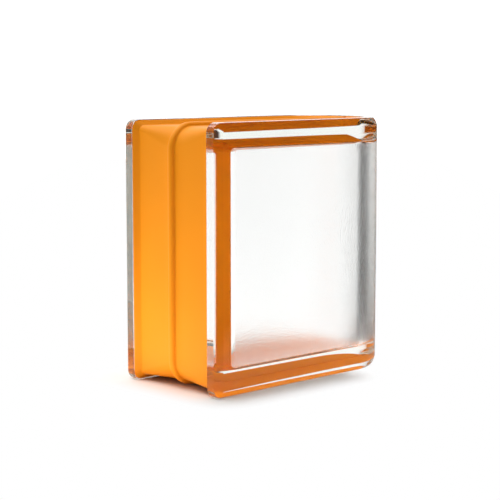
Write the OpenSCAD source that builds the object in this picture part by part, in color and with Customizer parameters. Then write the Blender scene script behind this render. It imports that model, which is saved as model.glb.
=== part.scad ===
// Hollow glass end block: two pressed half-shells fused along a seam, with a rounded finished end on the right.
// The other three sides have a mortar channel with a coloured coating.
// X is the width, Y the depth with the front face towards -Y, Z is up from the edge that the block stands on.

/* [Block] */
// Width over the channel side and the rounded end
face_w = 190; // [160:1:300]
// Height of the glass faces
face_h = 190; // [140:1:300]
// Depth over both glass faces
depth = 100; // [96:1:120]
// Radius of the rounded end, seen from above
end_r = 44; // [40:1:47]

/* [Lips] */
// Thickness of the lip at its edge
lip_t = 10; // [9:0.25:12]
// Corner radius of the lip, seen from the front
lip_corner_r = 7.25; // [7.25:0.25:12]
// How far the fire-polished bevel of the edge reaches onto the face
face_edge_w = 6.5; // [2:0.25:7]
// How far that bevel reaches back along the lip
face_edge_d = 3.25; // [2:0.25:5]
// Form of that bevel: 1 is evenly round, 2 is straight
face_edge_form = 1.5; // [1:0.1:1.8]
// Rounding of the lip's edge on the channel side
lip_back_r = 0.5; // [0.25:0.05:0.6]
// Strip on the lip's back that stays bare glass
land_w = 0.6; // [0.6:0.1:2]

/* [Channel] */
// Depth of the channel next to the lips
root_depth = 4.5; // [4:0.25:8]
// Depth of the channel at the seam, where the walls stand out a little
seam_depth = 4; // [3.5:0.1:5]
// Corner radius of the wall next to a lip
wall_root_corner_r = 4; // [3:0.5:8]
// Slope of the lip's back, from the plane of the face
lip_lean = 45; // [0:1:50]
// Fillet between a lip and the wall
root_r = 2.5; // [1.5:0.25:3.5]
// Corner radius of the wall at the seam
wall_seam_corner_r = 17; // [15:0.5:24]

/* [Seam] */
// Width of the fused bead
bead_w = 6; // [5:0.25:8]
// Height of the fused bead above the wall
bead_h = 2.9; // [1.5:0.1:2.9]
// Depth of the fused line on the rounded end
end_seam_depth = 0.4; // [0.2:0.1:0.8]

/* [Cavity] */
// Thickness of the glass in the faces and the rounded end
face_t = 10.5; // [8:0.25:12]
// Distance from the upper and lower edges to the flat inner face
panel_inset = 19.25; // [17:0.25:24]
// Distance from the left edge to the flat inner face
panel_side_inset = 23; // [17:0.25:26]
// Thickness of the walls at the seam
seam_wall_t = 8.25; // [6:0.25:9]
// Inner fillet between a face and the walls
cavity_fillet_r = 2.25; // [1.5:0.25:4]
// Corner radius of the hollow next to a face
cavity_face_corner_r = 4; // [3:0.5:6]

/* [Coating] */
// Thickness of the coloured coating
coat_t = 0.3; // [0.15:0.05:0.5]

/* [Hidden] */
// Straight steps in each quarter turn of a rounding
arc_steps = 5;
// Straight steps in each corner of an outline
corner_steps = 10;
// Steps along a quarter of the hollow's rounded end
end_steps = 12;
// Steps along the wall from the bead to the fillet
wall_steps = 4;
// How far one glass shape runs into the next, so that they fuse
overlap = 1;
// Depths are measured from the seam, the same way to both faces
face_v = depth / 2;
lip_v = face_v - lip_t;
cavity_v = face_v - face_t;
// Centres of the rounded end's two bends
bend_x = face_w / 2 - end_r;
bend_v = face_v - end_r;
// Centre of the fillet between a lip's sloping back and the wall
lean = tan(lip_lean);
root_inset = root_depth - root_r;
root_back = lean * (root_inset - land_w) + root_r / cos(lip_lean);
root_v = lip_v - root_back;
lip_end_r = lip_corner_r - land_w;
// Inner side of the lip on the rounded end
end_back_x = face_w / 2 - lip_t;
// Round section of the bead, with its centre below the wall
bead_r = (bead_h * bead_h + bead_w * bead_w / 4) / (2 * bead_h);
bead_sink = bead_r - bead_h;
// Round tool that draws the fused line on the rounded end
line_r = 1.5;
$fn = 96;

// Points of an arc from angle a to angle b
function arc(x, y, r, a, b) =
    [for (k = [0 : arc_steps]) let (t = a + (b - a) * k / arc_steps) [x + r * cos(t), y + r * sin(t)]];

// Points of a bevelled edge from angle a to angle b, reaching rx along X and ry along Y
function bevel(x, y, rx, ry, a, b) =
    [for (k = [0 : arc_steps])
        let (t = a + (b - a) * k / arc_steps)
        [x + rx * sign(cos(t)) * pow(abs(cos(t)), face_edge_form),
         y + ry * sign(sin(t)) * pow(abs(sin(t)), face_edge_form)]];

// How far a round end of radius r reaches along X at depth v
function end_x(r, v) = bend_x + sqrt(max(r * r - pow(max(abs(v) - bend_v, 0), 2), 0));

// Level of a loft: an outline at depth v, drawn in from the top and bottom edges and by more on the left,
// with rounded corners on the left, ending on the right at x_end
function ring(v, inset, left_r, x_end, right_r, more) = [
    for (q = [0 : 3], k = [0 : corner_steps])
        let (a = 90 * (q + k / corner_steps),
             right = q == 0 || q == 3,
             r = right ? right_r : left_r,
             x = right ? x_end - r : inset + more + r - face_w / 2,
             z = (face_h / 2 - inset - r) * (q < 2 ? 1 : -1))
        [x + r * cos(a), -v, face_h / 2 + z + r * sin(a)]
];

// The levels of one half, mirrored to the other side of the seam, from the rear to the front
function both_halves(levels) = concat(
    [for (k = [len(levels) - 1 : -1 : 1]) [for (i = [0 : 5]) i == 0 ? -levels[k][0] : levels[k][i]]],
    levels
);

// A solid through levels, from the rear to the front
module loft(levels) {
    n = 4 * (corner_steps + 1);
    last = len(levels) - 1;
    points = [for (l = levels) each ring(l[0], l[1], l[2], l[3], l[4], l[5])];
    sides = [
        for (i = [0 : last - 1], j = [0 : n - 1])
            [(i + 1) * n + j, (i + 1) * n + (j + 1) % n, i * n + (j + 1) % n, i * n + j]
    ];
    rear_cap = [for (j = [0 : n - 1]) j];
    front_cap = [for (j = [n - 1 : -1 : 0]) last * n + j];
    polyhedron(points = points, faces = concat([rear_cap], sides, [front_cap]));
}

// Channel depth and corner radius of the wall at depth v
function wall_depth(v) = seam_depth + (root_depth - seam_depth) * v / root_v;
function wall_corner_r(v) =
    wall_seam_corner_r + (wall_root_corner_r - wall_seam_corner_r) * v / root_v;

// Half the channel's form, from the seam to the back of the lip: bead, wall and fillet,
// with a skin laid on them that thins out to half up the lip; it runs on into the rounded end's lip
function channel_levels(skin) =
    let (bead_end = acos((bead_sink + skin) / (bead_r + skin)),
         form = concat(
            [for (k = [0 : arc_steps])
                let (a = bead_end * k / arc_steps,
                     v = (bead_r + skin) * sin(a),
                     rise = (bead_r + skin) * cos(a) - bead_sink)
                [v, wall_depth(v) - rise, wall_corner_r(v) + rise]],
            [for (k = [1 : wall_steps - 1])
                let (v = bead_w / 2 + (root_v - bead_w / 2) * k / wall_steps)
                [v, wall_depth(v) - skin, wall_corner_r(v) + skin]],
            [for (k = [0 : arc_steps])
                let (a = (90 - lip_lean) * k / arc_steps,
                     corner_r = wall_root_corner_r + (lip_end_r - wall_root_corner_r) * k / arc_steps / 2)
                [root_v + (root_r - skin) * sin(a), root_inset + (root_r - skin) * cos(a), corner_r + skin * cos(a)]],
            skin > 0
                ? [[lip_v - skin / 2, land_w, lip_end_r], [lip_v, land_w, lip_end_r]]
                : [[lip_v, land_w, lip_end_r], [lip_v + overlap, land_w + overlap, lip_end_r]]))
    [for (f = form) [f[0], f[1], f[2], end_x(end_r - lip_t / 2, f[0]), overlap, 0]];

// Section through a face plate: X from its back to its face, Y up
module plate_section() {
    polygon(concat(
        bevel(lip_t - face_edge_d, face_edge_w, face_edge_d, face_edge_w, -90, 0),
        bevel(lip_t - face_edge_d, face_h - face_edge_w, face_edge_d, face_edge_w, 0, 90),
        arc(lip_back_r, face_h - lip_back_r, lip_back_r, 90, 180),
        arc(lip_back_r, lip_back_r, lip_back_r, 180, 270)
    ));
}

// Section through the lip's left edge: X outwards from the corner's centre, Y towards the face
module edge_section() {
    polygon(concat(
        [[0, lip_v]],
        arc(lip_corner_r - lip_back_r, lip_v + lip_back_r, lip_back_r, -90, 0),
        bevel(lip_corner_r - face_edge_w, face_v - face_edge_d, face_edge_w, face_edge_d, 0, 90),
        [[0, face_v]]
    ));
}

// Rear face plate with its lip, and its bend as far as the seam
module plate_and_bend() {
    corner_x = lip_corner_r - face_w / 2;
    translate([corner_x, lip_v, 0]) rotate([90, 0, 90]) linear_extrude(bend_x - corner_x) plate_section();
    translate([bend_x, bend_v, 0]) rotate_extrude(angle = 90) translate([end_r - lip_t, 0]) plate_section();
    translate([end_back_x, bend_v, 0]) rotate([90, 0, 0]) linear_extrude(bend_v) plate_section();
    translate([corner_x, 0, lip_corner_r]) mirror([1, 0, 0])
        linear_extrude(face_h - 2 * lip_corner_r) edge_section();
    for (top = [0, 1]) translate([corner_x, 0, top ? face_h - lip_corner_r : lip_corner_r])
        rotate([-90, 0, 0]) rotate([0, 0, top ? 180 : 90]) rotate_extrude(angle = 90) edge_section();
}

// Fillet section between the channel's floor and the lip on the rounded end, with a skin on it
module end_fillet_section(skin) {
    back = end_r - lip_t;
    floor_z = face_h - root_depth;
    polygon(concat(
        arc(back - root_back, face_h - root_inset, root_r - skin, -90, -lip_lean),
        [[back - skin / 2, face_h - land_w], [back + overlap, face_h - land_w],
         [back + overlap, floor_z - overlap], [back - root_back, floor_z - overlap]]
    ));
}

// That fillet along a quarter of the rounded end, above and below
module end_fillet(skin) {
    for (top = [0, 1]) translate([0, 0, top ? 0 : face_h]) mirror([0, 0, 1 - top]) {
        translate([bend_x, bend_v, 0]) rotate_extrude(angle = 90) end_fillet_section(skin);
        translate([bend_x, bend_v, 0]) rotate([90, 0, 0]) linear_extrude(bend_v) end_fillet_section(skin);
    }
}

// The bead's two ends, which climb the inner side of the rounded end's lip
module bead_ends() {
    for (top = [0, 1]) translate([end_back_x + bead_sink, 0, top ? face_h - root_depth - overlap : land_w])
        cylinder(r = bead_r, h = root_depth + overlap - land_w);
}

// Fused line down the rounded end and across the ends of its lip
module end_line() {
    reach = line_r - end_seam_depth;
    translate([face_w / 2 + reach, 0, -overlap]) cylinder(r = line_r, h = face_h + 2 * overlap);
    for (z = [-reach, face_h + reach]) translate([end_back_x, 0, z])
        rotate([0, 90, 0]) cylinder(r = line_r, h = lip_t + overlap);
}

// Outside of the glass, filled in
module glass_outside() {
    difference() {
        union() {
            for (side = [0, 1]) mirror([0, side, 0]) {
                plate_and_bend();
                end_fillet(0);
            }
            loft(both_halves(channel_levels(0)));
            bead_ends();
        }
        end_line();
    }
}

// Sealed hollow: its walls lean in from the seam to the faces, and it follows the rounded end
module cavity() {
    seam_inset = seam_depth + seam_wall_t;
    fillet_v = cavity_v - cavity_fillet_r;
    fillet_inset = panel_inset - cavity_fillet_r;
    seam_corner_r = wall_seam_corner_r - seam_wall_t / 2;
    round_r = end_r - face_t;
    function inset(v) = v <= fillet_v
        ? seam_inset + (fillet_inset - seam_inset) * v / fillet_v
        : panel_inset - sqrt(max(pow(cavity_fillet_r, 2) - pow(v - fillet_v, 2), 0));
    function corner_r(v) = seam_corner_r + (cavity_face_corner_r - seam_corner_r) * v / cavity_v;
    // The left wall leans more than the upper and lower ones
    function more(v) =
        (panel_side_inset - panel_inset) * (inset(v) - seam_inset) / (panel_inset - seam_inset);
    depths = concat([0], [for (k = [0 : end_steps]) bend_v + round_r * sin(90 * k / end_steps)]);
    loft(both_halves([for (v = depths) [v, inset(v), corner_r(v), end_x(round_r, v), cavity_face_corner_r, more(v)]]));
}

module glass_body() {
    color("aliceblue", 0.5) difference() {
        glass_outside();
        cavity();
    }
}

module edge_coating() {
    color("darkorange") difference() {
        union() {
            loft(both_halves(channel_levels(coat_t)));
            for (side = [0, 1]) mirror([0, side, 0]) end_fillet(coat_t);
        }
        glass_outside();
    }
}

glass_body();
edge_coating();
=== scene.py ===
"""Looks of a hollow glass end block with an orange coating in its mortar channel."""

import math

import bmesh
import bpy
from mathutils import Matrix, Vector
from mathutils.bvhtree import BVHTree


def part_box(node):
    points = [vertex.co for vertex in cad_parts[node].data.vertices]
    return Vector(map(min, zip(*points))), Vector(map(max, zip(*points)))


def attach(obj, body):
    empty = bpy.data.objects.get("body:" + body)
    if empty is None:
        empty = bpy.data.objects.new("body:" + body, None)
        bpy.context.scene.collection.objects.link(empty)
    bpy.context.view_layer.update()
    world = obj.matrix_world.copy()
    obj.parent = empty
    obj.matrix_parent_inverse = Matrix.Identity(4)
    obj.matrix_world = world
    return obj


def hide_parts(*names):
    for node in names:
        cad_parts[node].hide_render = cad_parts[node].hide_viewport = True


bl_info = {
    "name": "Glass End Block",
    "version": (1, 0, 0),
    "blender": (4, 5, 0),
    "location": "3D View > Sidebar > Glass Block",
    "description": "Dresses a hollow glass end block and sets up its studio",
    "category": "Object",
}

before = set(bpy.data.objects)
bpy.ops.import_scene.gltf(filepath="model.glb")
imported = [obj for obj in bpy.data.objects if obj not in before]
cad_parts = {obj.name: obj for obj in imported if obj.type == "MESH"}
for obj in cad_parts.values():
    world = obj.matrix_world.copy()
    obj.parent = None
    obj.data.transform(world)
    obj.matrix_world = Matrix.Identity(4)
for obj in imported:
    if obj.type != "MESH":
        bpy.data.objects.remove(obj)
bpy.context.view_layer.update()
GLASS_LOW, GLASS_HIGH = (Vector(corner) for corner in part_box("glass_body"))
MM = 0.001
WHITE = (1.0, 1.0, 1.0, 1.0)

# Surfaces closer than this count as touching
HAIR = 0.02 * MM
# How far the film's underside draws back from the glass
DRAW_BACK = 0.06 * MM
# Turn between two faces past which an edge stays sharp, and the same beside the block's faces
SHARP_TURN = math.radians(32)
FACE_TURN = math.radians(6)
# A surface whose normal lies this far along the depth is one of the block's flat faces
FLAT_FACE = 0.9999

# Middle of the wall glass: how far it lies inside the block's outline, and its corner radius
WALL_MIDDLE = 8.5 * MM
WALL_CORNER = 12 * MM
# Depth to the middle of a face plate's glass, and to just past its inside
PLATE_MIDDLE = 5 * MM
PLATE_INSIDE = 10.7 * MM

# Sheet of paper: half its width, and how far it runs before and behind the block
SHEET_SIDE = 0.45
SHEET_BEFORE = 0.9
SHEET_BEHIND = 2.6
# How far the block's shadow is drawn in from its left and its right side
SHADOW_LEFT = 8 * MM
SHADOW_RIGHT = 75 * MM
# Distance over which the paper changes: for the eye, seen through the glass, and mirrored
SHADOW_REACH = 35 * MM
THROUGH_REACH = 50 * MM
MIRROR_REACH = 250 * MM
# Strip of paper on the left that glows with painted light seen only by diffuse rays, in place of
# hard-lit paper: measured from the block, and its end in front of the seam
STRIP_START = 5 * MM
STRIP_FULL = 30 * MM
STRIP_END = 200 * MM
STRIP_FRONT = 40 * MM

# Brightness of the unlit room, and of the paper as the glass mirrors it
ROOM_DIM = 0.04
MIRROR_DIM = 0.05
# Cosines between which the backdrop fades in, and between which it ends on the right
BACKDROP_RISE = (-0.1, 0.45)
BACKDROP_END = (-0.36, -0.24)
# Soft lights of the room: direction, and the cosines between which each fades in
FILL = ((-0.8, 0.45, 0.4), 0.0, 0.8)
FRONT = ((0.15, -0.97, -0.2), 0.35, 0.85)
ABOVE = ((0.4, 0.7, 0.6), 0.3, 0.9)
SIDE = ((0.77, 0.64, 0.0), 0.74, 0.9)
# Brightness of the light above, as a share of the front light
ABOVE_SHARE = 0.4
# Dark gap in the white room, seen from the rounded end, which shows it as a stripe
GAP = ((1.0, -0.035, 0.0), 0.82, 0.89)
GAP_CENTRE = (80 * MM, 0.0, 0.0)

# Square soft box over the block
SOFT_BOX_SIDE = 1.1
SOFT_BOX_PLACE = (-0.2, 0.2, 1.1)
SOFT_BOX_AIM = (0.0, 0.0, 0.08)


def linear(hex_code):
    """Linear RGBA of an sRGB hex colour."""
    values = [int(hex_code[i : i + 2], 16) / 255 for i in (1, 3, 5)]
    return (*[v / 12.92 if v <= 0.04045 else ((v + 0.055) / 1.055) ** 2.4 for v in values], 1.0)


def add_node(tree, kind, settings=None, links=None, **inputs):
    """Adds a node with its settings and links.

    Settings are the node's own properties, links join its inputs to sockets, and inputs are
    values by the input's name, where _1 stands for the input of that number.
    """
    node = tree.nodes.new(kind)
    for name, value in (settings or {}).items():
        setattr(node, name, value)
    for name, value in inputs.items():
        key = int(name[1:]) if name[1:].isdigit() else name.replace("_", " ")
        node.inputs[key].default_value = value
    for name, socket in (links or {}).items():
        tree.links.new(socket, node.inputs[name])
    return node


def new_material(name):
    """An empty node material and its output node."""
    material = bpy.data.materials.new(name)
    material.use_nodes = True
    material.node_tree.nodes.clear()
    return material, material.node_tree.nodes.new("ShaderNodeOutputMaterial")


class GlassFinish(bpy.types.PropertyGroup):
    """How the glass was pressed and etched."""

    tint: bpy.props.FloatVectorProperty(
        name="Tint",
        description="Faint green cast of thick soda-lime glass",
        subtype="COLOR",
        size=4,
        min=0.0,
        max=1.0,
        default=linear("#E6EBE6"),
    )
    satin: bpy.props.FloatProperty(
        name="Satin",
        description="Roughness of the etched faces of the hollow",
        subtype="FACTOR",
        min=0.0,
        max=1.0,
        default=0.16,
    )
    grain: bpy.props.FloatProperty(
        name="Grain",
        description="Size of the etched grain",
        subtype="DISTANCE",
        unit="LENGTH",
        default=1.1 * MM,
    )
    end_radius: bpy.props.FloatProperty(
        name="End radius",
        description="Radius of the rounded end, seen from above",
        subtype="DISTANCE",
        unit="LENGTH",
        default=44 * MM,
    )
    lip: bpy.props.FloatProperty(
        name="Lip",
        description="Thickness of the lips beside the channel",
        subtype="DISTANCE",
        unit="LENGTH",
        default=10 * MM,
    )
    bare: bpy.props.FloatProperty(
        name="Bare strip",
        description="Width of the strip on the lips' backs that has no coating",
        subtype="DISTANCE",
        unit="LENGTH",
        default=0.6 * MM,
    )


class CoatingFinish(bpy.types.PropertyGroup):
    """Paint in the mortar channel."""

    colour: bpy.props.FloatVectorProperty(
        name="Colour",
        description="Colour of the paint",
        subtype="COLOR",
        size=4,
        min=0.0,
        max=1.0,
        default=linear("#F6961A"),
    )
    wetted: bpy.props.FloatVectorProperty(
        name="Wetted colour",
        description="Colour of the paint's underside, where it wets the glass",
        subtype="COLOR",
        size=4,
        min=0.0,
        max=1.0,
        default=linear("#F98E18"),
    )
    roughness: bpy.props.FloatProperty(
        name="Roughness",
        description="Satin sheen of the paint's outside",
        subtype="FACTOR",
        min=0.0,
        max=1.0,
        default=0.42,
    )


class StudioSettings(bpy.types.PropertyGroup):
    """Floor, light and camera."""

    floor: bpy.props.FloatVectorProperty(
        name="Floor",
        description="Colour of the floor",
        subtype="COLOR",
        size=4,
        min=0.0,
        max=1.0,
        default=linear("#F4F0EB"),
    )
    key: bpy.props.FloatProperty(
        name="Key light",
        description="Power of the soft box over the block",
        subtype="POWER",
        unit="POWER",
        default=11.0,
    )
    backdrop: bpy.props.FloatProperty(
        name="Backdrop",
        description="Brightness of the backdrop behind the block",
        min=0.0,
        default=1.22,
    )
    fill: bpy.props.FloatProperty(
        name="Fill light",
        description="Brightness of the soft fill on the left",
        min=0.0,
        default=0.35,
    )
    # Strength of the painted glow on the floor strip on the left, an emission that only diffuse
    # rays see and that lights the channel from below
    floor_glow: bpy.props.FloatProperty(
        name="Bounce",
        description="Brightness of the light that the floor on the left throws up",
        min=0.0,
        default=3.0,
    )
    front: bpy.props.FloatProperty(
        name="Front light",
        description="Brightness of the soft light on the paint behind the glass",
        min=0.0,
        default=6.0,
    )
    camera: bpy.props.FloatVectorProperty(
        name="Camera",
        description="Where the camera stands",
        subtype="XYZ",
        unit="LENGTH",
        size=3,
        default=(-0.74998, -0.77553, 0.22632),
    )
    aim: bpy.props.FloatVectorProperty(
        name="Aim",
        description="Direction in which the camera looks",
        subtype="DIRECTION",
        size=3,
        default=(0.68207, 0.72069, -0.12401),
    )
    lens: bpy.props.FloatProperty(
        name="Lens",
        description="Focal length on a 36 mm sensor, in millimetres",
        default=104.551,
    )


def crease_edges(mesh):
    """Keeps a crisp crease where the bevel of an edge meets a flat face."""
    shell = bmesh.new()
    shell.from_mesh(mesh)
    for edge in shell.edges:
        turn = sorted(abs(face.normal.y) for face in edge.link_faces)
        if turn[-1] > FLAT_FACE and turn[0] < math.cos(FACE_TURN):
            edge.smooth = False
    shell.to_mesh(mesh)
    shell.free()


def smooth_copy(node, name):
    """A copy of a CAD node with merged vertices, rounded shading and flat faces kept flat."""
    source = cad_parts[node]
    shell = bmesh.new()
    shell.from_mesh(source.data)
    bmesh.ops.remove_doubles(shell, verts=shell.verts, dist=0.001 * MM)
    for face in shell.faces:
        face.smooth = True
    mesh = bpy.data.meshes.new(name)
    shell.to_mesh(mesh)
    shell.free()
    mesh.set_sharp_from_angle(angle=SHARP_TURN)
    crease_edges(mesh)
    copy = bpy.data.objects.new(name, mesh)
    bpy.context.collection.objects.link(copy)
    weighted = copy.modifiers.new("Flat faces", "WEIGHTED_NORMAL")
    weighted.mode = "FACE_AREA"
    weighted.weight = 50
    weighted.keep_sharp = True
    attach(copy, "root")
    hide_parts(node)
    return copy


def past(tree, *limits):
    """Distance of two sockets past their limits, measured round the corner between them."""
    steps = []
    for socket, limit in limits:
        step = add_node(tree, "ShaderNodeMath", {"operation": "SUBTRACT"}, {0: socket}, _1=limit)
        step = add_node(
            tree, "ShaderNodeMath", {"operation": "MAXIMUM"}, {0: step.outputs[0]}, _1=0.0
        )
        steps.append(step.outputs[0])
    corner = add_node(tree, "ShaderNodeCombineXYZ", links=dict(enumerate(steps)))
    length = add_node(
        tree, "ShaderNodeVectorMath", {"operation": "LENGTH"}, {0: corner.outputs[0]}
    )
    return length.outputs["Value"]


def within(tree, *limits):
    """One where every socket lies below its limit, else zero."""
    tests = [
        add_node(tree, "ShaderNodeMath", {"operation": "LESS_THAN"}, {0: socket}, _1=limit)
        for socket, limit in limits
    ]
    inside = tests[0].outputs[0]
    for test in tests[1:]:
        inside = add_node(
            tree, "ShaderNodeMath", {"operation": "MULTIPLY"}, {0: inside, 1: test.outputs[0]}
        ).outputs[0]
    return inside


def pressed_glass(glass, coating):
    """Soda-lime glass, pressed and fire-polished outside, etched inside the hollow.

    The faces are clear and sharp, the etched inside scatters what is behind it, and where the
    channel is painted the paint shows through the glass as a deep orange.
    """
    material, output = new_material("soda_lime_glass_pressed_and_etched")
    tree = material.node_tree
    place = add_node(tree, "ShaderNodeTexCoord").outputs["Object"]
    axes = add_node(tree, "ShaderNodeSeparateXYZ", links={0: place}).outputs
    left = add_node(
        tree, "ShaderNodeMath", {"operation": "MULTIPLY"}, {0: axes["X"]}, _1=-1.0
    ).outputs[0]
    # Depth from the seam, and height from the middle, the same both ways
    middle = (GLASS_LOW.z + GLASS_HIGH.z) / 2
    rise = add_node(tree, "ShaderNodeMath", {"operation": "SUBTRACT"}, {0: axes["Z"]}, _1=middle)
    depth, height = [
        add_node(tree, "ShaderNodeMath", {"operation": "ABSOLUTE"}, {0: socket}).outputs[0]
        for socket in (axes["Y"], rise.outputs[0])
    ]
    left_side = -GLASS_LOW.x
    top_side = GLASS_HIGH.z - middle
    # Distance from the middle line of the rounded end, carried on straight along the faces
    reach = past(
        tree,
        (axes["X"], GLASS_HIGH.x - glass.end_radius),
        (depth, GLASS_HIGH.y - glass.end_radius),
    )
    # The hollow starts in the middle of the glass, at a rounded outline inside the channel
    spread = past(
        tree,
        (left, left_side - WALL_MIDDLE - WALL_CORNER),
        (height, top_side - WALL_MIDDLE - WALL_CORNER),
    )
    hollow = within(tree, (spread, WALL_CORNER), (reach, glass.end_radius - PLATE_MIDDLE))
    # The channel lies between the lips and outside the hollow, below the bare strip
    between = within(
        tree,
        (left, left_side - glass.bare + HAIR),
        (height, top_side - glass.bare + HAIR),
        (reach, glass.end_radius - glass.lip + HAIR),
    )
    painted = add_node(
        tree,
        "ShaderNodeMath",
        {"operation": "SUBTRACT", "use_clamp": True},
        {0: between, 1: hollow},
    )
    # The faces and the rounded end of the hollow are etched, its side walls are smooth
    side_walls = within(tree, (reach, glass.end_radius - PLATE_INSIDE))
    etched = add_node(
        tree,
        "ShaderNodeMath",
        {"operation": "SUBTRACT", "use_clamp": True},
        {0: hollow, 1: side_walls},
    ).outputs[0]
    # Etched grain, one lump to about a millimetre
    grain = add_node(
        tree,
        "ShaderNodeTexNoise",
        links={"Vector": place},
        Scale=1 / glass.grain,
        Detail=2.0,
        Roughness=0.5,
    )
    bump = add_node(
        tree,
        "ShaderNodeBump",
        links={"Strength": etched, "Height": grain.outputs[0]},
        Distance=0.24 * MM,
    )
    satin = add_node(
        tree, "ShaderNodeMath", {"operation": "MULTIPLY"}, {0: etched}, _1=glass.satin
    )
    body = add_node(
        tree,
        "ShaderNodeBsdfPrincipled",
        links={"Roughness": satin.outputs[0], "Normal": bump.outputs[0]},
        Base_Color=WHITE,
        IOR=1.52,
        Transmission_Weight=1.0,
    )
    # Over ten centimetres the glass takes up about a fifth of the light, and least of the green
    cast = add_node(tree, "ShaderNodeVolumeAbsorption", Color=tuple(glass.tint), Density=10.0)
    tree.links.new(cast.outputs[0], output.inputs["Volume"])
    paint = add_node(
        tree,
        "ShaderNodeBsdfPrincipled",
        Base_Color=tuple(coating.wetted),
        Roughness=0.6,
        Specular_IOR_Level=0.0,
    )
    mixed = add_node(
        tree,
        "ShaderNodeMixShader",
        links={0: painted.outputs[0], 1: body.outputs[0], 2: paint.outputs[0]},
    )
    tree.links.new(mixed.outputs[0], output.inputs["Surface"])
    return material


def satin_paint(coating):
    """Two-part paint sprayed on glass: opaque, with a soft sheen and a faint orange-peel."""
    material, output = new_material("two_part_paint_sprayed_satin")
    tree = material.node_tree
    place = add_node(tree, "ShaderNodeTexCoord").outputs["Object"]
    # Orange-peel of a sprayed film, lumps of about 2 mm
    peel = add_node(
        tree, "ShaderNodeTexNoise", links={"Vector": place}, Scale=1 / (2 * MM), Detail=2.0
    )
    bump = add_node(
        tree, "ShaderNodeBump", links={"Height": peel.outputs[0]}, Strength=0.08, Distance=0.1 * MM
    )
    # Film thickness drifts over some centimetres
    drift = add_node(
        tree, "ShaderNodeTexNoise", links={"Vector": place}, Scale=1 / (45 * MM), Detail=1.0
    )
    shade = add_node(
        tree, "ShaderNodeMapRange", links={"Value": drift.outputs[0]}, To_Min=0.95, To_Max=1.04
    )
    colour = add_node(
        tree,
        "ShaderNodeVectorMath",
        {"operation": "SCALE"},
        {"Scale": shade.outputs[0]},
        _0=tuple(coating.colour)[:3],
    )
    paint = add_node(
        tree,
        "ShaderNodeBsdfPrincipled",
        links={"Base Color": colour.outputs[0], "Normal": bump.outputs[0]},
        Roughness=coating.roughness,
        Specular_IOR_Level=0.08,
    )
    tree.links.new(paint.outputs[0], output.inputs["Surface"])
    return material


def fade(tree, distance, reach, rays):
    """Share of some rays, rising from none at the block to all of them at its reach."""
    rise = add_node(
        tree,
        "ShaderNodeMapRange",
        {"interpolation_type": "SMOOTHSTEP"},
        {"Value": distance},
        From_Max=reach,
    )
    share = add_node(
        tree, "ShaderNodeMath", {"operation": "MULTIPLY"}, {0: rise.outputs[0], 1: rays}
    )
    return share.outputs[0]


def lobe(tree, heading, axis, start, end, low, high):
    """Brightness that goes from low to high as a heading turns towards an axis."""
    turn = add_node(
        tree,
        "ShaderNodeVectorMath",
        {"operation": "DOT_PRODUCT"},
        {0: heading},
        _1=Vector(axis).normalized(),
    )
    level = add_node(
        tree,
        "ShaderNodeMapRange",
        {"interpolation_type": "SMOOTHSTEP"},
        {"Value": turn.outputs["Value"]},
        From_Min=start,
        From_Max=end,
        To_Min=low,
        To_Max=high,
    )
    return level.outputs[0]


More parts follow.
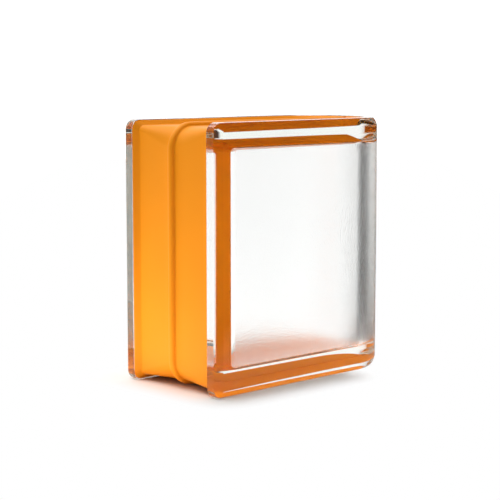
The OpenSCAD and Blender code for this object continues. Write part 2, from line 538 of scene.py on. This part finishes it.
def white_paper(settings):
    """Matt white paper that keeps the block's shadow and runs out into the white backdrop, with a
    painted glow on its left that lights the channel.
    """
    material, output = new_material("matt_white_paper")
    tree = material.node_tree
    paper = add_node(tree, "ShaderNodeBsdfDiffuse", Color=tuple(settings.floor))
    place = add_node(tree, "ShaderNodeTexCoord").outputs["Object"]
    path = add_node(tree, "ShaderNodeLightPath").outputs
    through = path["Is Transmission Ray"]
    # Distance from the shadow, which keeps to the left and the front
    low = Vector((GLASS_LOW.x + SHADOW_LEFT, GLASS_LOW.y, 0))
    high = Vector((GLASS_HIGH.x - SHADOW_RIGHT, GLASS_HIGH.y, 0))
    offset = add_node(
        tree, "ShaderNodeVectorMath", {"operation": "SUBTRACT"}, {0: place}, _1=(low + high) / 2
    )
    either_way = add_node(
        tree, "ShaderNodeVectorMath", {"operation": "ABSOLUTE"}, {0: offset.outputs[0]}
    )
    sides = add_node(tree, "ShaderNodeSeparateXYZ", links={0: either_way.outputs[0]}).outputs
    half = (high - low) / 2
    distance = past(tree, (sides["X"], half.x), (sides["Y"], half.y))
    # Past the shadow the eye and the glass see white
    share = add_node(
        tree,
        "ShaderNodeMath",
        {"operation": "MAXIMUM"},
        {
            0: fade(tree, distance, SHADOW_REACH, path["Is Camera Ray"]),
            1: fade(tree, distance, THROUGH_REACH, through),
        },
    )
    # Through the glass it is as bright as the backdrop, but for the dark gap on the right
    from_end = add_node(
        tree, "ShaderNodeVectorMath", {"operation": "SUBTRACT"}, {0: place}, _1=GAP_CENTRE
    )
    bearing = add_node(
        tree, "ShaderNodeVectorMath", {"operation": "NORMALIZE"}, {0: from_end.outputs[0]}
    )
    lit = lobe(tree, bearing.outputs[0], *GAP, settings.backdrop, ROOM_DIM)
    bright = add_node(tree, "ShaderNodeMix", links={"Factor": through, "B": lit}, A=1.0)
    white = add_node(
        tree, "ShaderNodeEmission", links={"Strength": bright.outputs[0]}, Color=WHITE
    )
    seen = add_node(
        tree,
        "ShaderNodeMixShader",
        links={0: share.outputs[0], 1: paper.outputs[0], 2: white.outputs[0]},
    )
    # The glass mirrors the paper only near its foot, beyond it the dim room
    mirrored = add_node(
        tree,
        "ShaderNodeMath",
        {"operation": "SUBTRACT", "use_clamp": True},
        {0: path["Is Glossy Ray"], 1: through},
    )
    dim = add_node(tree, "ShaderNodeEmission", Color=WHITE, Strength=MIRROR_DIM)
    sheet = add_node(
        tree,
        "ShaderNodeMixShader",
        links={
            0: fade(tree, distance, MIRROR_REACH, mirrored.outputs[0]),
            1: seen.outputs[0],
            2: dim.outputs[0],
        },
    )
    # On the left the paper glows with painted light, an emission that only diffuse rays see, and
    # throws it up into the channel as hard-lit paper would
    turned = add_node(tree, "ShaderNodeVectorMath", {"operation": "SCALE"}, {0: place}, Scale=-1.0)
    axes = add_node(tree, "ShaderNodeSeparateXYZ", links={0: turned.outputs[0]}).outputs
    left, forward = axes["X"], axes["Y"]
    left_side = -GLASS_LOW.x
    strip = add_node(
        tree,
        "ShaderNodeMapRange",
        {"interpolation_type": "SMOOTHSTEP"},
        {"Value": left},
        From_Min=left_side + STRIP_START,
        From_Max=left_side + STRIP_FULL,
        To_Max=settings.floor_glow,
    ).outputs[0]
    glow_area = within(tree, (left, left_side + STRIP_END), (forward, STRIP_FRONT))
    for part in (glow_area, path["Is Diffuse Ray"]):
        strip = add_node(
            tree, "ShaderNodeMath", {"operation": "MULTIPLY"}, {0: strip, 1: part}
        ).outputs[0]
    painted_glow = add_node(tree, "ShaderNodeEmission", links={"Strength": strip}, Color=WHITE)
    whole = add_node(
        tree, "ShaderNodeAddShader", links={0: sheet.outputs[0], 1: painted_glow.outputs[0]}
    )
    tree.links.new(whole.outputs[0], output.inputs["Surface"])
    return material


def white_room(settings, away, aside):
    """Dim room with a white backdrop, as the eye, the paint and the glass see it."""
    world = bpy.data.worlds.new("white_studio")
    world.use_nodes = True
    tree = world.node_tree
    tree.nodes.clear()
    heading = add_node(tree, "ShaderNodeTexCoord").outputs["Generated"]
    path = add_node(tree, "ShaderNodeLightPath").outputs
    through = path["Is Transmission Ray"]
    mirrorings, scatterings = path["Glossy Depth"], path["Diffuse Depth"]
    # White backdrop behind the block, that ends on the right
    rear = lobe(tree, heading, away, *BACKDROP_RISE, 0.0, settings.backdrop)
    span = lobe(tree, heading, -aside, *BACKDROP_END, 0.0, 1.0)
    backdrop = add_node(tree, "ShaderNodeMath", {"operation": "MULTIPLY"}, {0: rear, 1: span})
    # Soft fill from the left, in a dim room
    fill = lobe(tree, heading, *FILL, ROOM_DIM, settings.fill)
    # What the glass mirrors inside itself ends in the white room on the right
    folded = add_node(
        tree, "ShaderNodeMath", {"operation": "MINIMUM"}, {0: mirrorings, 1: through}
    )
    side = add_node(
        tree,
        "ShaderNodeMath",
        {"operation": "MULTIPLY"},
        {0: lobe(tree, heading, *SIDE, 0.0, settings.backdrop), 1: folded.outputs[0]},
    )
    # Light that a plate has led along between its faces comes from all round
    turns = add_node(tree, "ShaderNodeMath", {"operation": "SUBTRACT"}, {0: mirrorings}, _1=1.0)
    often = add_node(
        tree,
        "ShaderNodeMath",
        {"operation": "SUBTRACT", "use_clamp": True},
        {0: turns.outputs[0], 1: scatterings},
    )
    led = add_node(
        tree, "ShaderNodeMath", {"operation": "MULTIPLY"}, {0: often.outputs[0], 1: through}
    )
    room = backdrop.outputs[0]
    for light in (fill, side.outputs[0], led.outputs[0]):
        room = add_node(
            tree, "ShaderNodeMath", {"operation": "MAXIMUM"}, {0: room, 1: light}
        ).outputs[0]
    # Paint behind the glass gets a soft light from the front and from above
    painted = add_node(
        tree, "ShaderNodeMath", {"operation": "MINIMUM"}, {0: scatterings, 1: through}
    )
    soft = add_node(
        tree,
        "ShaderNodeMath",
        {"operation": "ADD"},
        {
            0: lobe(tree, heading, *FRONT, 0.0, settings.front),
            1: lobe(tree, heading, *ABOVE, 0.0, ABOVE_SHARE * settings.front),
        },
    )
    on_paint = add_node(
        tree,
        "ShaderNodeMath",
        {"operation": "MULTIPLY"},
        {0: soft.outputs[0], 1: painted.outputs[0]},
    )
    lit = add_node(tree, "ShaderNodeMath", {"operation": "ADD"}, {0: room, 1: on_paint.outputs[0]})
    # Straight through the block the room is white all round, but for the dark gap on the right
    bent = add_node(
        tree, "ShaderNodeMath", {"operation": "ADD"}, {0: mirrorings, 1: scatterings}
    )
    straight = add_node(
        tree,
        "ShaderNodeMath",
        {"operation": "SUBTRACT", "use_clamp": True},
        {0: through, 1: bent.outputs[0]},
    )
    white = lobe(tree, heading, *GAP, settings.backdrop, ROOM_DIM)
    whole = add_node(
        tree,
        "ShaderNodeMix",
        links={"Factor": straight.outputs[0], "A": lit.outputs[0], "B": white},
    )
    level = add_node(
        tree,
        "ShaderNodeMath",
        {"operation": "MAXIMUM"},
        {0: whole.outputs[0], 1: path["Is Camera Ray"]},
    )
    sky = add_node(
        tree, "ShaderNodeBackground", links={"Strength": level.outputs[0]}, Color=WHITE
    )
    end = add_node(tree, "ShaderNodeOutputWorld", links={"Surface": sky.outputs[0]})
    end.is_active_output = True
    return world


class GLASSBLOCK_OT_glass(bpy.types.Operator):
    """Dress the glass body: clear outside, satin hollow, paint seen through the walls"""

    bl_idname = "glassblock.glass"
    bl_label = "Glass Body"

    def execute(self, context):
        scene = context.scene
        body = smooth_copy("glass_body", "pressed_glass_body")
        body.data.materials.append(pressed_glass(scene.block_glass, scene.block_coating))
        return {"FINISHED"}


class GLASSBLOCK_OT_coating(bpy.types.Operator):
    """Dress the paint film in the mortar channel"""

    bl_idname = "glassblock.coating"
    bl_label = "Edge Coating"

    def execute(self, context):
        film = smooth_copy("edge_coating", "channel_paint")
        # The film's underside draws back, so that no two surfaces lie in one place
        shell = bmesh.new()
        shell.from_mesh(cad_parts["glass_body"].data)
        glass = BVHTree.FromBMesh(shell)
        shell.free()
        shell = bmesh.new()
        shell.from_mesh(film.data)
        shell.normal_update()
        under = [vert for vert in shell.verts if glass.find_nearest(vert.co)[3] < HAIR]
        for vert in under:
            vert.co -= vert.normal * DRAW_BACK
        shell.to_mesh(film.data)
        shell.free()
        film.data.materials.append(satin_paint(context.scene.block_coating))
        return {"FINISHED"}


class GLASSBLOCK_OT_studio(bpy.types.Operator):
    """Set up the white floor, the soft light and the camera"""

    bl_idname = "glassblock.studio"
    bl_label = "Studio"

    def execute(self, context):
        scene = context.scene
        settings = scene.block_studio

        # Sheet of paper laid along the camera's direction, so that the room beside it is dark
        away = Vector((settings.aim[0], settings.aim[1], 0)).normalized()
        aside = Vector((away.y, -away.x, 0))
        corners = (
            (-SHEET_SIDE, -SHEET_BEFORE),
            (SHEET_SIDE, -SHEET_BEFORE),
            (SHEET_SIDE, SHEET_BEHIND),
            (-SHEET_SIDE, SHEET_BEHIND),
        )
        slab = bmesh.new()
        slab.faces.new([slab.verts.new(aside * u + away * v) for u, v in corners])
        mesh = bpy.data.meshes.new("studio_floor")
        slab.to_mesh(mesh)
        slab.free()
        mesh.materials.append(white_paper(settings))
        floor = bpy.data.objects.new("studio_floor", mesh)
        context.collection.objects.link(floor)

        scene.world = white_room(settings, away, aside)
        light = bpy.data.lights.new("soft_box", "AREA")
        light.shape = "RECTANGLE"
        light.size = light.size_y = SOFT_BOX_SIDE
        light.energy = settings.key
        box = bpy.data.objects.new("soft_box", light)
        box.location = SOFT_BOX_PLACE
        beam = Vector(SOFT_BOX_AIM) - box.location
        box.rotation_euler = beam.to_track_quat("-Z", "Y").to_euler()
        context.collection.objects.link(box)

        lens = bpy.data.cameras.new("camera")
        lens.sensor_width = 36.0
        lens.lens = settings.lens
        lens.clip_start = 10 * MM
        camera = bpy.data.objects.new("camera", lens)
        camera.location = settings.camera
        camera.rotation_euler = Vector(settings.aim).to_track_quat("-Z", "Y").to_euler()
        context.collection.objects.link(camera)
        scene.camera = camera

        # Light crosses the glass many times before it leaves the block
        scene.cycles.max_bounces = 24
        scene.cycles.transmission_bounces = 24
        scene.cycles.glossy_bounces = 16
        scene.view_settings.view_transform = "Standard"
        return {"FINISHED"}


class GLASSBLOCK_PT_panel(bpy.types.Panel):
    """Glass block tools in the sidebar"""

    bl_idname = "GLASSBLOCK_PT_panel"
    bl_label = "Glass Block"
    bl_space_type = "VIEW_3D"
    bl_region_type = "UI"
    bl_category = "Glass Block"

    def draw(self, context):
        layout = self.layout
        scene = context.scene
        for group, fields in (
            (scene.block_glass, ("tint", "satin", "grain", "end_radius", "lip", "bare")),
            (scene.block_coating, ("colour", "wetted", "roughness")),
            (scene.block_studio, ("floor", "key", "backdrop", "fill", "floor_glow", "front")),
            (scene.block_studio, ("camera", "aim", "lens")),
        ):
            column = layout.column()
            for field in fields:
                column.prop(group, field)
        for operator in (GLASSBLOCK_OT_glass, GLASSBLOCK_OT_coating, GLASSBLOCK_OT_studio):
            layout.operator(operator.bl_idname)


CLASSES = (
    GlassFinish,
    CoatingFinish,
    StudioSettings,
    GLASSBLOCK_OT_glass,
    GLASSBLOCK_OT_coating,
    GLASSBLOCK_OT_studio,
    GLASSBLOCK_PT_panel,
)


def register():
    for cls in CLASSES:
        bpy.utils.register_class(cls)
    bpy.types.Scene.block_glass = bpy.props.PointerProperty(type=GlassFinish)
    bpy.types.Scene.block_coating = bpy.props.PointerProperty(type=CoatingFinish)
    bpy.types.Scene.block_studio = bpy.props.PointerProperty(type=StudioSettings)


def unregister():
    del bpy.types.Scene.block_studio
    del bpy.types.Scene.block_coating
    del bpy.types.Scene.block_glass
    for cls in reversed(CLASSES):
        bpy.utils.unregister_class(cls)


def main():
    register()
    bpy.ops.glassblock.glass()
    bpy.ops.glassblock.coating()
    bpy.ops.glassblock.studio()


if __name__ == "__main__":
    main()
